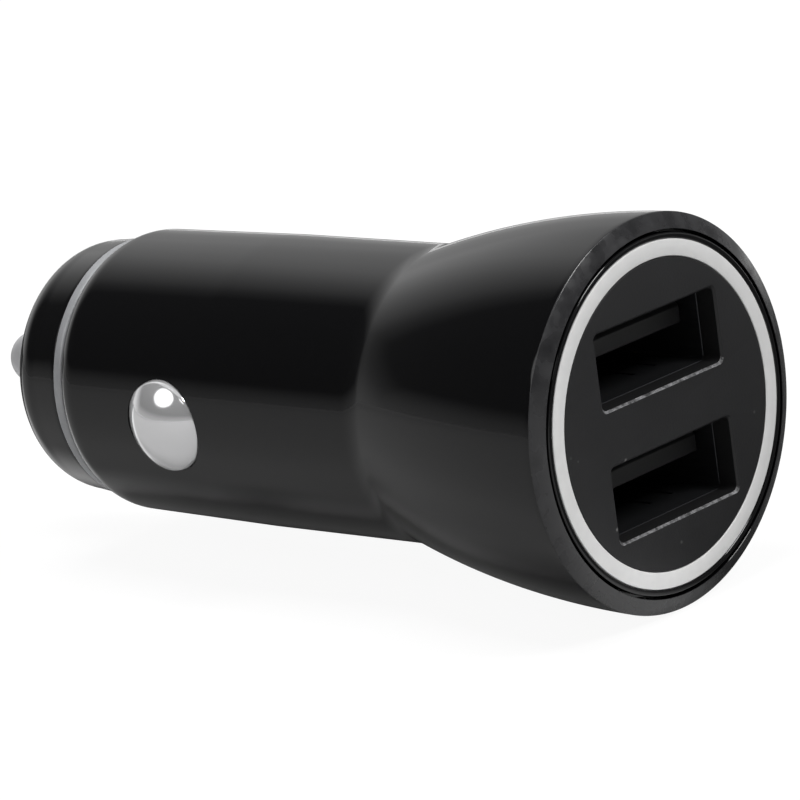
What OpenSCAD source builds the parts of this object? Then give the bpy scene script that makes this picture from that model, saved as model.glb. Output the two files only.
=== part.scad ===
// Two-port USB charger plug for a 12 V car socket.
// The plug lies along X: the ports face +X, the nose points to -X and +Z is up.
// X = 0 is the seat, where the straight barrel ends and the trumpet of the head begins.

/* [Barrel] */
// Radius of the straight barrel that enters the socket
barrel_r = 10.4; // [10.1:0.05:10.8]
// Length of the barrel from the seat to its nose end
barrel_len = 28.1; // [27:0.1:32]
// Length of the straight part of the barrel, before its slight taper
straight_len = 14; // [10:0.5:20]
// How much smaller the radius is at the nose end
barrel_draft = 0.2; // [0:0.05:0.4]
// Radius that rounds the barrel's nose end
shoulder_r = 2.4; // [1.8:0.1:3.2]
// Length of that rounding along the plug
shoulder_len = 1.6; // [1:0.1:1.8]
// Wall of the barrel
barrel_wall = 1.3; // [1:0.05:1.5]

/* [Head] */
// Radius of the head at its rim
head_r = 13.5; // [13.2:0.05:14.5]
// Distance from the seat to the front face
head_len = 20; // [19:0.1:24]
// Radius of the long arc that forms the trumpet
flare_r = 66; // [56:1:110]
// Radius of the hollow blend between trumpet and barrel
neck_blend = 6; // [2:0.5:10]
// How far the rim's outer edge lies behind the front face
rim_drop = 0.55; // [0.2:0.05:1]
// Width of the sloped band between the rim's edge and the mouth
rim_w = 1.15; // [1:0.05:1.3]
// Depth of the mouth, from the front face to its seat
mouth_depth = 4.5; // [4:0.1:5.5]
// Wall of the trumpet
head_wall = 1.3; // [1:0.05:1.5]
// Width of the step that the front assembly sits on
seat_w = 1.15; // [0.95:0.05:1.2]

/* [Front assembly] */
// Width of the dark groove between the rim and the front lip
groove_w = 0.2; // [0.1:0.05:0.3]
// Depth of that groove
groove_depth = 1; // [0.5:0.1:2]
// Width of the front lip with its groove
lip_w = 0.65; // [0.55:0.05:0.75]
// Width of the light ring
ring_w = 1.15; // [0.9:0.05:1.2]
// Thickness of the faceplate's flange, behind the light ring
flange_t = 1; // [0.6:0.1:1.5]
// Thickness of the faceplate in front of the port housings
plate_t = 1.6; // [1.2:0.1:2]
// Gap between pieces that are pushed together
push_gap = 0.04; // [0.02:0.01:0.06]

/* [Ports] */
// Width of the opening of a port
port_w = 12.5; // [12.3:0.05:12.6]
// Height of the opening of a port
port_h = 5.12; // [5:0.02:5.2]
// Distance between the middles of the two ports
port_pitch = 9.05; // [8.6:0.05:9.1]
// Sheet thickness of a port housing
port_sheet = 0.3; // [0.2:0.05:0.35]
// Length of a port housing
port_len = 13.5; // [12:0.1:14]
// Gap round the opening in the faceplate
port_lip = 0.05; // [0.02:0.01:0.1]
// Radius of the corners of the openings
port_corner = 0.45; // [0.2:0.05:0.8]
// Width of the bevel round the openings
port_bevel = 0.22; // [0.1:0.02:0.3]
// Width of the tongue
tongue_w = 11.1; // [10.6:0.1:11.4]
// Thickness of the tongue
tongue_t = 1.84; // [1.6:0.02:1.9]
// Clear height above the tongue
tongue_top_gap = 0.72; // [0.6:0.02:0.9]
// How far the tongue's tip lies behind the front face
tongue_set_back = 2.6; // [2:0.1:4]
// Length of the tongue in front of its block
tongue_len = 8.9; // [8:0.1:9.5]
// Width of one of the four contact strips
strip_w = 1; // [0.8:0.05:1.2]
// Thickness of a contact strip
strip_t = 0.2; // [0.15:0.01:0.3]

/* [Nose] */
// Width of the pale ring between barrel and nose cap
trim_w = 0.6; // [0.4:0.05:0.8]
// How far the nose cap's surface lies inside the barrel's
nose_step = 0.7; // [0.5:0.05:0.9]
// How much smaller the radius is where the rounding begins
nose_draft = 0.3; // [0:0.05:0.5]
// Length of the nose cap outside the barrel
nose_len = 5.9; // [5.2:0.1:8]
// Radius that rounds the front of the nose cap
nose_round = 3; // [2:0.1:3.6]
// Wall of the nose cap
nose_wall = 1.2; // [1:0.05:1.5]
// Length of the nose cap's skirt inside the barrel
skirt_len = 4.4; // [3.5:0.1:5]
// Depth of the barrel's inner lip that the skirt snaps behind
lip_len = 2; // [1.5:0.1:2.5]
// Height of the snap bead on the skirt
bead_h = 0.22; // [0.1:0.02:0.3]

/* [Centre contact] */
// Radius of the contact pin
pin_r = 2; // [1.8:0.05:2.5]
// How far the pin stands out of the nose cap
pin_out = 8; // [7:0.1:9]
// Travel of the pin when it is pressed in
pin_travel = 3; // [2:0.1:3.5]
// Radius of the pin's flange
pin_flange_r = 3.4; // [3.2:0.1:3.8]
// Thickness of the pin's flange
pin_flange_t = 1; // [0.8:0.1:1.2]
// Radius of the tail that guides the spring
pin_tail_r = 1.5; // [1.2:0.1:1.6]
// Length of that tail
pin_tail_len = 3; // [2:0.1:4]
// Gap round the pin in the nose cap
pin_gap = 0.06; // [0.03:0.01:0.09]
// Wire diameter of the pin's spring
wire_d = 0.5; // [0.4:0.05:0.6]
// Mean radius of the pin's spring
coil_r = 2.4; // [2.2:0.05:2.6]
// Turns of the pin's spring
coil_turns = 6; // [4:1:7]
// Thickness of the terminal that the spring stands on
terminal_t = 0.4; // [0.3:0.05:0.6]

/* [Side contacts] */
// Distance of the side contacts behind the seat
side_x = 17.5; // [16:0.1:18]
// Turn of the side contacts about the plug, against the ports
side_turn = 4; // [0:0.5:6]
// Radius of a side contact
side_r = 3.34; // [3:0.02:3.4]
// Radius of its domed end
side_dome_r = 4.3; // [4:0.1:6]
// How far the dome stands out of the barrel
side_out = 1.1; // [0.8:0.05:1.2]
// Travel of a side contact when it is pressed in
side_travel = 1.3; // [1.2:0.05:1.4]
// Radius of a side contact's flange
side_flange_r = 4.2; // [4:0.05:4.3]
// Sheet thickness of a side contact
side_sheet = 0.5; // [0.4:0.05:0.6]
// Gap round a side contact in the barrel
side_gap = 0.06; // [0.03:0.01:0.09]
// Width of a side contact's leaf spring
leaf_w = 3; // [2:0.1:3.6]
// Thickness of that leaf spring
leaf_t = 0.25; // [0.2:0.05:0.3]

/* [Circuit board] */
// Thickness of the board
board_t = 1.6; // [1.2:0.1:1.6]
// Gap between the board and the step in the head
board_head_gap = 0.9; // [0.8:0.1:1.4]
// Gap between the board's edge and the barrel's bore
board_mid_gap = 0.2; // [0.15:0.05:0.7]
// Room between the two large capacitors and the barrel's bore
can_room = 2; // [1.8:0.1:3.3]
// Length of the input capacitor
can_in_len = 8; // [6:0.1:8]
// Length of the output capacitor
can_out_len = 8; // [6:0.1:10]
// Side of the square power inductor
coil_side = 7; // [6:0.1:7.4]
// Height of the power inductor
coil_h = 4; // [3:0.1:4.5]

/* [Hidden] */
$fn = 96;
eps = 0.01;
far = 40;
// Stations along the plug
face_x = head_len;
rim_x = face_x - rim_drop;
seat_x = face_x - mouth_depth;
end_x = -barrel_len;
shoulder_x = end_x + shoulder_len;
nose_x = end_x - trim_w;
front_x = nose_x - nose_len;
round_x = front_x + nose_round;
skirt_x = nose_x + trim_w + skirt_len;
port_front_x = face_x - plate_t;
port_back_x = port_front_x - port_len;
tongue_x = face_x - tongue_set_back;
block_x = tongue_x - tongue_len;
// Radii of the barrel and the nose
end_r = barrel_r - barrel_draft;
bore_r = barrel_r - barrel_wall;
nose_r = end_r - nose_step;
shoulder_end_r = end_r - shoulder_r + sqrt(pow(shoulder_r, 2) - pow(shoulder_len, 2));
lip_step = 0.9;
lip_r = shoulder_end_r - lip_step;
skirt_r = lip_r - push_gap;
skirt_in_r = skirt_r - nose_wall;
bead_half = 0.6;
nose_round_r = nose_r - nose_draft;
trim_stand = 0.1;
// Radii of the mouth
mouth_r = head_r - rim_w;
throat_r = mouth_r - seat_w;
ring_out_r = mouth_r - lip_w;
// The trumpet's arc passes through the rim and meets the neck's blend without a corner
blend_c = [barrel_r + neck_blend, 0];
rim_p = [head_r, rim_x];
rim_to_blend = blend_c - rim_p;
blend_dist = norm(rim_to_blend);
blend_dir = rim_to_blend / blend_dist;
foot = (pow(flare_r, 2) - pow(flare_r + neck_blend, 2) + pow(blend_dist, 2)) / (2 * blend_dist);
rise = sqrt(pow(flare_r, 2) - pow(foot, 2));
flare_c = rim_p + foot * blend_dir - rise * [-blend_dir[1], blend_dir[0]];
flare_end = flare_c + (blend_c - flare_c) * flare_r / (flare_r + neck_blend);
// Front assembly
ring_in_r = ring_out_r - ring_w;
boss_r = ring_in_r - push_gap;
plate_flange_r = ring_out_r - push_gap;
ring_back_x = seat_x + flange_t;
bezel_out_r = mouth_r - push_gap;
bezel_in_r = ring_out_r + push_gap;
lip_out_r = mouth_r - groove_w;
// Ports
port_z = port_pitch / 2;
housing_w = port_w + 2 * port_sheet;
housing_h = port_h + 2 * port_sheet;
tongue_z = port_h / 2 - tongue_top_gap - tongue_t;
strip_pitch = 2.3;
strip_count = 4;
strip_tip_gap = 1;
strip_back = 1;
strip_leg_x = port_back_x - strip_back;
leg_w = 1.2;
leg_inset = 0.9;
leg_first = 2;
leg_step = 5;
leg_places = [port_back_x + leg_first, port_back_x + leg_first + leg_step];
leaf_cut = 0.3;
latch_len = 5;
latch_w = 2;
latch_y = 3;
latch_back = 7.5;
latch_x = port_front_x - latch_back;
// Centre contact, its spring and its terminal
pin_hole_r = pin_r + pin_gap;
nose_in_x = front_x + nose_wall;
flange_rest = 0.05;
pin_flange_x = nose_in_x + flange_rest;
spring_a = pin_flange_x + pin_flange_t;
tail_clear = 3.15;
spring_b = spring_a + pin_tail_len + pin_travel + tail_clear;
terminal_x = spring_b + terminal_t;
terminal_edge = 0.6;
terminal_r = coil_r + wire_d + terminal_edge;
tab_len = 0.9;
tab_w = 2;
coil_steps = 24;
wire_sides = 8;
// Side contacts: heights along their own axis, from the plug's axis
side_surface = barrel_r - barrel_draft * (side_x - straight_len) / (-shoulder_x - straight_len);
side_top = side_surface + side_out;
dome_c = side_top - side_dome_r;
side_hole_r = side_r + side_gap;
dome_edge = dome_c + sqrt(pow(side_dome_r, 2) - pow(side_r, 2));
flange_top = sqrt(pow(bore_r - flange_rest, 2) - pow(side_flange_r, 2));
flange_low = flange_top - side_sheet;
leaf_clear = 0.97;
// Circuit board
board_gap = 0.3;
board_back_x = terminal_x;
board_front_x = seat_x - board_gap;
board_head_w = throat_r - board_head_gap;
board_mid_w = bore_r - board_mid_gap;
board_step_x = flare_c[1]
    - sqrt(pow(flare_r - head_wall, 2) - pow(board_head_w + board_gap - flare_c[0], 2));
board_tail_w = flange_low - leaf_t - side_travel - leaf_clear;
board_tail_gap = 1.4;
board_tail_x = -side_x + side_flange_r + board_tail_gap;
half_t = board_t / 2;
// Parts on the board
led_len = 1.6;
led_reach = 0.4;
led_w = 0.8;
led_h = 0.8;
led_y = board_head_w - led_w / 2;
window_w = 1.8;
window_edge = 0.3;
window_in = led_y - led_w / 2 - window_edge;
can_d = bore_r - half_t - can_room;
lead_d = 0.5;
lead_y = 1.25;
lead_out = 0.8;
crimp_w = 0.5;
crimp_deep = 0.25;
crimp_x = 1.6;
can_in_back = 1.2;
can_in_x = board_back_x + can_in_back;
can_out_back = 13.4;
can_out_x = port_back_x - can_out_back;
coil_back = 14.5;
coil_from_x = port_back_x - coil_back;
coil_corner = 0.8;
coil_groove = 0.5;
chip_size = [4.9, 3.9, 1.4];
chip_pitch = 1.27;
chip_legs = 4;
chip_back = 4.3;
chip_x = port_back_x - chip_back;
diode_size = [2.6, 4.3, 2];
diode_back = 4;
diode_x = board_tail_x - diode_back;
chip_part = [1.6, 1.25, 0.9];
chip_part_back = 2.4;
chip_part_y = 5.6;
chip_part_pitch = 2.4;

// Turns a flat section about the plug's axis: x is the radius, y the station along the plug
module turned() {
    rotate([0, 90, 0]) rotate_extrude() children();
}

// Band of a section between two stations
module band(r, from_x, to_x) {
    translate([0, from_x]) square([r, to_x - from_x]);
}

// Bar with round corners along the plug, between two stations
module rounded_bar(w, h, corner, from_x, to_x) {
    translate([from_x, 0, 0]) rotate([90, 0, 90]) linear_extrude(to_x - from_x)
        rounded_outline(w, h, corner);
}

module rounded_outline(w, h, corner) {
    square([w - 2 * corner, h], center = true);
    square([w, h - 2 * corner], center = true);
    for (sx = [-1, 1], sy = [-1, 1])
        translate([sx * (w / 2 - corner), sy * (h / 2 - corner)]) circle(corner);
}

// Box given by its lowest corner and its highest corner
module block(low, high) {
    translate(low) cube(high - low);
}

// Brings a piece that points along +Y to the left (-1) or right (1) side contact
module side_place(side) {
    rotate([side_turn + (side < 0 ? 180 : 0), 0, 0]) translate([-side_x, 0, 0]) children();
}

// Outside of the shell, from the rim back to the nose end
module shell_outside() {
    turned() polygon([[0, rim_x], [head_r, rim_x], [mouth_r, face_x], [0, face_x]]);
    turned() intersection() {
        translate(flare_c) circle(flare_r, $fn = 720);
        band(far, flare_end[1], rim_x);
    }
    turned() difference() {
        band(blend_c[0], 0, flare_end[1]);
        translate(blend_c) circle(neck_blend);
    }
    turned() polygon([[0, 0], [barrel_r, 0], [barrel_r, -straight_len], [end_r, shoulder_x],
        [0, shoulder_x]]);
    turned() intersection() {
        translate([end_r - shoulder_r, shoulder_x]) circle(shoulder_r);
        band(far, end_x, shoulder_x);
    }
    turned() band(end_r - shoulder_r, end_x, shoulder_x);
}

module shell_hollow() {
    turned() band(mouth_r, seat_x, face_x + 1);
    turned() intersection() {
        translate(flare_c) circle(flare_r - head_wall, $fn = 720);
        band(throat_r, 0, seat_x + eps);
    }
    turned() band(bore_r, end_x + lip_len, flare_end[1] + 2);
    turned() band(lip_r, end_x - 1, end_x + lip_len + eps);
}

module shell() {
    color("#0b0b0c") difference() {
        shell_outside();
        shell_hollow();
        for (side = [-1, 1])
            side_place(side) rotate([-90, 0, 0]) cylinder(h = far, r = side_hole_r);
    }
}

module bezel_ring() {
    color("#0e0e0f") turned() polygon([
        [bezel_in_r, seat_x], [bezel_out_r, seat_x], [bezel_out_r, face_x - groove_depth],
        [lip_out_r, face_x - groove_depth], [lip_out_r, face_x], [bezel_in_r, face_x]]);
}

module light_ring() {
    color("#d4d4d4") turned() difference() {
        band(ring_out_r, ring_back_x, face_x);
        band(ring_in_r, ring_back_x - 1, face_x + 1);
    }
}

// Opening of one port in the faceplate, with its bevel and the pocket for the housing
module port_cut() {
    open_w = port_w + 2 * port_lip;
    open_h = port_h + 2 * port_lip;
    edge = port_bevel * sqrt(2);
    rounded_bar(open_w, open_h, port_corner, 0, far);
    block([seat_x - 1, -housing_w / 2 - push_gap, -housing_h / 2 - push_gap],
        [port_front_x, housing_w / 2 + push_gap, housing_h / 2 + push_gap]);
    for (s = [-1, 1]) {
        translate([face_x, 0, s * open_h / 2]) rotate([0, 45, 0])
            cube([edge, open_w - 2 * port_corner, edge], center = true);
        translate([face_x, s * open_w / 2, 0]) rotate([0, 0, 45])
            cube([edge, edge, open_h - 2 * port_corner], center = true);
    }
}

module faceplate() {
    color("#262627") difference() {
        turned() {
            band(plate_flange_r, seat_x, ring_back_x);
            band(boss_r, ring_back_x - eps, face_x);
        }
        for (s = [-1, 1]) translate([0, 0, s * port_z]) port_cut();
        for (s = [-1, 1])
            translate([seat_x - 1, s * (window_in + far / 2) - far / 2, half_t])
                cube([flange_t + 1 + eps, far, window_w]);
    }
}

// Folded sheet housing with its retaining leaves cut free on both wide faces
module port_housing() {
    color("#a9abae") difference() {
        rounded_bar(housing_w, housing_h, port_corner, port_back_x, port_front_x);
        rounded_bar(port_w, port_h, port_corner / 2, port_back_x - 1, port_front_x + 1);
        for (sy = [-1, 1], sz = [-1, 1])
            translate([latch_x, sy * latch_y, sz * housing_h / 2]) difference() {
                translate([-leaf_cut, -latch_w / 2 - leaf_cut, -1])
                    cube([latch_len + leaf_cut, latch_w + 2 * leaf_cut, 2]);
                translate([0, -latch_w / 2, -2]) cube([latch_len + 1, latch_w, 4]);
            }
    }
}

// Solder legs between a housing and the board, toward the board's side of the port
module port_legs(up) {
    leg_len = port_z - housing_h / 2 - half_t;
    color("#a9abae") for (x = leg_places, sy = [-1, 1])
        translate([x, sy * (port_w / 2 - leg_inset), up * (-housing_h / 2 - leg_len / 2)])
            cube([leg_w, port_sheet, leg_len], center = true);
}

module port_tongue() {
    color("#161617") difference() {
        union() {
            block([block_x, -tongue_w / 2, tongue_z],
                [tongue_x, tongue_w / 2, tongue_z + tongue_t]);
            rounded_bar(port_w - 2 * push_gap, port_h - 2 * push_gap, port_corner / 2,
                port_back_x, block_x + eps);
        }
        strips(strip_leg_x - 1, strip_tip_gap);
    }
}

// The four strips that lie in the underside of the tongue
module strips(back_x, tip_gap) {
    for (i = [0 : strip_count - 1])
        translate([back_x, (i - (strip_count - 1) / 2) * strip_pitch - strip_w / 2, tongue_z])
            cube([tongue_x - tip_gap - back_x, strip_w, strip_t]);
}

// Strips with the legs that reach the board behind the housing
module port_contacts(up) {
    board_z = up * (half_t - port_z);
    color("#c9a24a") {
        strips(strip_leg_x, strip_tip_gap);
        for (i = [0 : strip_count - 1])
            translate([strip_leg_x, (i - (strip_count - 1) / 2) * strip_pitch - strip_w / 2,
                min(board_z, tongue_z)])
                cube([strip_t, strip_w, abs(board_z - tongue_z) + (up > 0 ? strip_t : 0)]);
    }
}

module upper_port_housing() {
    translate([0, 0, port_z]) {
        port_housing();
        port_legs(1);
    }
}

module lower_port_housing() {
    translate([0, 0, -port_z]) {
        port_housing();
        port_legs(-1);
    }
}

module upper_port_tongue() {
    translate([0, 0, port_z]) port_tongue();
}

module lower_port_tongue() {
    translate([0, 0, -port_z]) port_tongue();
}

module upper_port_contacts() {
    translate([0, 0, port_z]) port_contacts(1);
}

module lower_port_contacts() {
    translate([0, 0, -port_z]) port_contacts(-1);
}

module circuit_board() {
    color("#1d4a2c") translate([0, 0, -half_t]) linear_extrude(board_t) {
        translate([board_back_x, -board_tail_w])
            square([board_front_x - board_back_x, 2 * board_tail_w]);
        translate([board_tail_x, -board_mid_w])
            square([board_front_x - board_tail_x, 2 * board_mid_w]);
        translate([board_step_x, -board_head_w])
            square([board_front_x - board_step_x, 2 * board_head_w]);
    }
}

module power_inductor() {
    winding_r = coil_side * 0.4;
    color("#3a3a3d") translate([coil_from_x + coil_side / 2, 0, half_t]) difference() {
        linear_extrude(coil_h) rounded_outline(coil_side, coil_side, coil_corner);
        translate([0, 0, coil_h - coil_groove]) difference() {
            cylinder(h = 1, r = winding_r);
            translate([0, 0, -1]) cylinder(h = 3, r = winding_r - coil_groove);
        }
    }
}

// Lying can with its crimp groove and two leads that run down to the board
module can(len) {
    difference() {
        translate([0, 0, can_d / 2]) rotate([0, 90, 0]) cylinder(h = len, d = can_d);
        translate([len - crimp_x, 0, can_d / 2]) rotate([0, 90, 0]) difference() {
            cylinder(h = crimp_w, d = can_d + 1);
            translate([0, 0, -1]) cylinder(h = 3, d = can_d - 2 * crimp_deep);
        }
    }
    for (s = [-1, 1]) {
        translate([len, s * lead_y, can_d / 2]) rotate([0, 90, 0])
            cylinder(h = lead_out, d = lead_d);
        translate([len + lead_out, s * lead_y, 0])
            cylinder(h = can_d / 2 + lead_d / 2, d = lead_d);
    }
}

module input_capacitor() {
    color("#30333c") translate([can_in_x, 0, half_t]) can(can_in_len);
}

module output_capacitor() {
    color("#30333c") translate([can_out_x, 0, -half_t]) mirror([0, 0, 1]) can(can_out_len);
}

// Package with rows of bent legs along both sides
module legged_chip(size, leg_pitch, legs) {
    stand = 0.15;
    pin_w = 0.4;
    pin_t = 0.2;
    pin_len = 0.9;
    pin_z = 0.5;
    translate([-size[0] / 2, -size[1] / 2, stand]) cube(size);
    for (i = [0 : legs - 1], s = [-1, 1])
        translate([(i - (legs - 1) / 2) * leg_pitch, s * size[1] / 2, 0]) {
            translate([-pin_w / 2, s > 0 ? 0 : -pin_len, pin_z]) cube([pin_w, pin_len, pin_t]);
            translate([-pin_w / 2, s > 0 ? pin_len - pin_t : -pin_len, 0])
                cube([pin_w, pin_t, pin_z + eps]);
        }
}

module controller_chip() {
    color("#1b1b1d") translate([chip_x, 0, half_t]) legged_chip(chip_size, chip_pitch, chip_legs);
}

module rectifier_diode() {
    color("#1b1b1d") translate([diode_x, 0, -half_t]) mirror([0, 0, 1])
        legged_chip(diode_size, 0, 1);
}

// Ceramic parts beside the chip, on the board's upper face
module chip_parts() {
    color("#b9a78a") for (i = [0 : 2], s = [-1, 1])
        translate([chip_x + i * chip_part_pitch - chip_part_back, s * chip_part_y - chip_part[1] / 2,
            half_t])
            cube(chip_part);
}

module indicator_leds() {
    color("#f2efe2") for (s = [-1, 1])
        translate([board_front_x + led_reach - led_len, s * led_y - led_w / 2, half_t])
            cube([led_len, led_w, led_h]);
}

module positive_terminal() {
    color("#c2a35a") {
        translate([terminal_x - terminal_t, 0, 0]) rotate([0, 90, 0])
            cylinder(h = terminal_t, r = terminal_r);
        translate([terminal_x - eps, -tab_w / 2, half_t])
            cube([tab_len + eps, tab_w, terminal_t]);
    }
}

// Closed end turns, and an even pitch between them
function coil_x(turn) =
    let (low = spring_a + wire_d / 2, high = spring_b - wire_d / 2, open = high - low - 2 * wire_d)
    turn < 1 ? low + turn * wire_d
    : turn > coil_turns - 1 ? high - (coil_turns - turn) * wire_d
    : low + wire_d + open * (turn - 1) / (coil_turns - 2);

module centre_spring() {
    rings = coil_turns * coil_steps;
    points = [for (i = [0 : rings], k = [0 : wire_sides - 1])
        let (turn = i / coil_steps, side = k * 360 / wire_sides,
            r = coil_r + wire_d / 2 * cos(side))
        [coil_x(turn) + wire_d / 2 * sin(side), r * cos(turn * 360), r * sin(turn * 360)]];
    walls = [for (i = [0 : rings - 1], k = [0 : wire_sides - 1])
        let (next = (k + 1) % wire_sides)
        [i * wire_sides + k, i * wire_sides + next,
            (i + 1) * wire_sides + next, (i + 1) * wire_sides + k]];
    first = [for (k = [wire_sides - 1 : -1 : 0]) k];
    last = [for (k = [0 : wire_sides - 1]) rings * wire_sides + k];
    color("#b8babd") polyhedron(points, concat([first], walls, [last]));
}

module centre_contact() {
    tip_x = front_x - pin_out;
    color("#9c9da0") turned() {
        intersection() {
            translate([0, tip_x + pin_r]) circle(pin_r);
            band(pin_r, tip_x, tip_x + pin_r);
        }
        band(pin_r, tip_x + pin_r, pin_flange_x + eps);
        band(pin_flange_r, pin_flange_x, spring_a);
        band(pin_tail_r, spring_a - eps, spring_a + pin_tail_len);
    }
}

// Outside of the nose cap, with its skirt and the snap bead on it
module nose_outside() {
    bead_r = bead_half + bead_h;
    bead_x = end_x + lip_len + bead_r;
    turned() polygon([[0, nose_x], [nose_r, nose_x], [nose_round_r, round_x], [0, round_x]]);
    turned() intersection() {
        translate([nose_round_r - nose_round, round_x]) circle(nose_round);
        band(far, front_x, round_x);
    }
    turned() band(nose_round_r - nose_round, front_x, round_x);
    turned() band(skirt_r, nose_x, skirt_x);
    turned() intersection() {
        translate([skirt_r + bead_h - bead_r, bead_x]) circle(bead_r);
        band(far, end_x + lip_len + push_gap, skirt_x);
    }
}

module nose_hollow() {
    in_round = nose_round - nose_wall;
    in_r = min(skirt_in_r, nose_round_r - nose_wall);
    turned() band(in_r, round_x, skirt_x + 1);
    turned() band(in_r - in_round, nose_in_x, round_x + eps);
    turned() intersection() {
        translate([in_r - in_round, round_x]) circle(in_round);
        band(in_r, nose_in_x, round_x + eps);
    }
    turned() band(pin_hole_r, front_x - 1, nose_in_x + eps);
}

module nose_cap() {
    color("#0c0c0d") difference() {
        nose_outside();
        nose_hollow();
    }
}

module trim_ring() {
    round_r = trim_w / 2;
    core_r = nose_r + trim_stand - round_r;
    color("#8f9194") turned() difference() {
        union() {
            band(core_r, nose_x, end_x);
            translate([core_r, (nose_x + end_x) / 2]) circle(round_r);
        }
        band(lip_r, nose_x - 1, end_x + 1);
    }
}

// Drawn cup with a domed end and a flange that stops it inside the barrel
module side_contact() {
    inner_r = side_r - side_sheet;
    inner_dome = side_dome_r - side_sheet;
    rotate([-90, 0, 0]) rotate_extrude() difference() {
        union() {
            intersection() {
                translate([0, dome_c]) circle(side_dome_r);
                band(side_r, dome_edge, side_top + 1);
            }
            band(side_r, flange_low, dome_edge + eps);
            band(side_flange_r, flange_low, flange_top);
        }
        intersection() {
            translate([0, dome_c]) circle(inner_dome);
            band(inner_r, flange_low - 1, side_top);
        }
        band(inner_r, flange_low - 1, dome_c + sqrt(pow(inner_dome, 2) - pow(inner_r, 2)));
    }
}

module side_contact_left() {
    color("#d9dbde") side_place(-1) side_contact();
}

module side_contact_right() {
    color("#d9dbde") side_place(1) side_contact();
}

// Bent strip from the board's edge to the back of a side contact
module leaf_spring() {
    edge = 0.2;
    ramp_len = 1.2;
    foot_len = 1.1;
    pad_y = flange_low - leaf_t;
    foot_y = board_tail_w + edge;
    ramp_a = side_flange_r + edge;
    ramp_from = ramp_a - ramp_len;
    foot_a = ramp_a + foot_len;
    tip = edge - side_flange_r;
    translate([0, 0, -leaf_w / 2]) linear_extrude(leaf_w)
        polygon([[tip, pad_y], [ramp_from, pad_y], [ramp_a, foot_y], [foot_a, foot_y],
            [foot_a, foot_y + leaf_t], [ramp_a + edge, foot_y + leaf_t],
            [ramp_from + edge, flange_low], [tip, flange_low]]);
}

module leaf_spring_left() {
    color("#b8babd") side_place(-1) leaf_spring();
}

module leaf_spring_right() {
    color("#b8babd") side_place(1) leaf_spring();
}

shell();
bezel_ring();
light_ring();
faceplate();
upper_port_housing();
lower_port_housing();
upper_port_tongue();
lower_port_tongue();
upper_port_contacts();
lower_port_contacts();
circuit_board();
power_inductor();
input_capacitor();
output_capacitor();
controller_chip();
rectifier_diode();
chip_parts();
indicator_leds();
positive_terminal();
centre_spring();
centre_contact();
nose_cap();
trim_ring();
side_contact_left();
side_contact_right();
leaf_spring_left();
leaf_spring_right();
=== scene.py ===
# %% [markdown]
# # A two-port USB plug for the car socket
# This lesson dresses a plug that goes into the 12 V socket of a car. The solids and the motion
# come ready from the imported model, and everything here is placed in that same frame: X runs
# along the plug, out of the face with the ports, Z is up, and every length is in metres.
# We build the pieces whose shine needs a finer surface than the solids carry, give every piece
# the finish of its real material, and light the plug as in a small product studio.

# %% Load the frame
import math

import bmesh
import bpy
from mathutils import Matrix, Vector


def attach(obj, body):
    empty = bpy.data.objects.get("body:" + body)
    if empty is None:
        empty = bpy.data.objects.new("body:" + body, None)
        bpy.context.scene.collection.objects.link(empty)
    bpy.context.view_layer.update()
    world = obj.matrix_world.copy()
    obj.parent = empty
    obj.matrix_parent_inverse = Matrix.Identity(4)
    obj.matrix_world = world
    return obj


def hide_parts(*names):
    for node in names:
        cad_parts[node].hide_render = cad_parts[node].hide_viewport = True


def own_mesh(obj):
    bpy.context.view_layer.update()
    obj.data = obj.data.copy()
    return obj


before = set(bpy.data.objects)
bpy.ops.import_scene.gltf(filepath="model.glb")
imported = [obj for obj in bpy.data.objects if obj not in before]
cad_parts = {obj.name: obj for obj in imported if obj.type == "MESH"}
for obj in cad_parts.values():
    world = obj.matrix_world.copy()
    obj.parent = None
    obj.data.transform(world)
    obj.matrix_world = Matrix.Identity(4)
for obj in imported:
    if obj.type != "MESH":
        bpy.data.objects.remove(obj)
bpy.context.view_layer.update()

# %% [markdown]
# ## Units and colours
# A drawing of a plug is read in millimetres, and Blender works here in metres, so one number
# turns the first into the second. Colours are written as hex values as a paint card gives them.
# Those are display values, and the shader wants linear ones, so one function converts them.

# %% Units and colours
MM = 0.001
TURN = math.tau


def colour(code):
    parts = [int(code[i : i + 2], 16) / 255 for i in (1, 3, 5)]
    return (*[p / 12.92 if p < 0.04045 else ((p + 0.055) / 1.055) ** 2.4 for p in parts], 1)


print("mid grey in linear light:", round(colour("#808080")[0], 3))

# %% [markdown]
# ## A pen for turned outlines
# The shell, the nose cap, the rings and the contacts are all round, so each is one outline spun
# about an axis. The outline is drawn like with a pen: a first point, straight lines made by
# extruding that point, and arcs made by spinning it about a centre. Sharp corners are then eased
# with a vertex bevel, because no moulded or turned edge is perfectly sharp, and the small arc is
# what catches the light.

# %% The pen
def start(bm, x, r):
    return bm.verts.new((x * MM, 0, r * MM))


def line(bm, pen, x, r, parts=1):
    for k in range(parts):
        step = (Vector((x * MM, 0, r * MM)) - pen.co) / (parts - k)
        made = bmesh.ops.extrude_vert_indiv(bm, verts=[pen])["verts"][0]
        made.co += step
        pen = made
    return pen


def arc(bm, pen, x, r, degrees, steps):
    made = bmesh.ops.spin(
        bm, geom=[pen], cent=(x * MM, 0, r * MM), axis=(0, 1, 0), dvec=(0, 0, 0),
        angle=math.radians(degrees), steps=steps, use_merge=False, use_duplicate=False)
    return [g for g in made["geom_last"] if isinstance(g, bmesh.types.BMVert)][0]


def ease(bm, radius, *places, segments=4):
    for x, r in places:
        spot = Vector((x * MM, 0, r * MM))
        near = min(bm.verts, key=lambda v: (v.co - spot).length)
        bmesh.ops.bevel(
            bm, geom=[near], offset=radius * MM, offset_type="OFFSET", segments=segments,
            profile=0.5, affect="VERTICES", material=-1)


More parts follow.
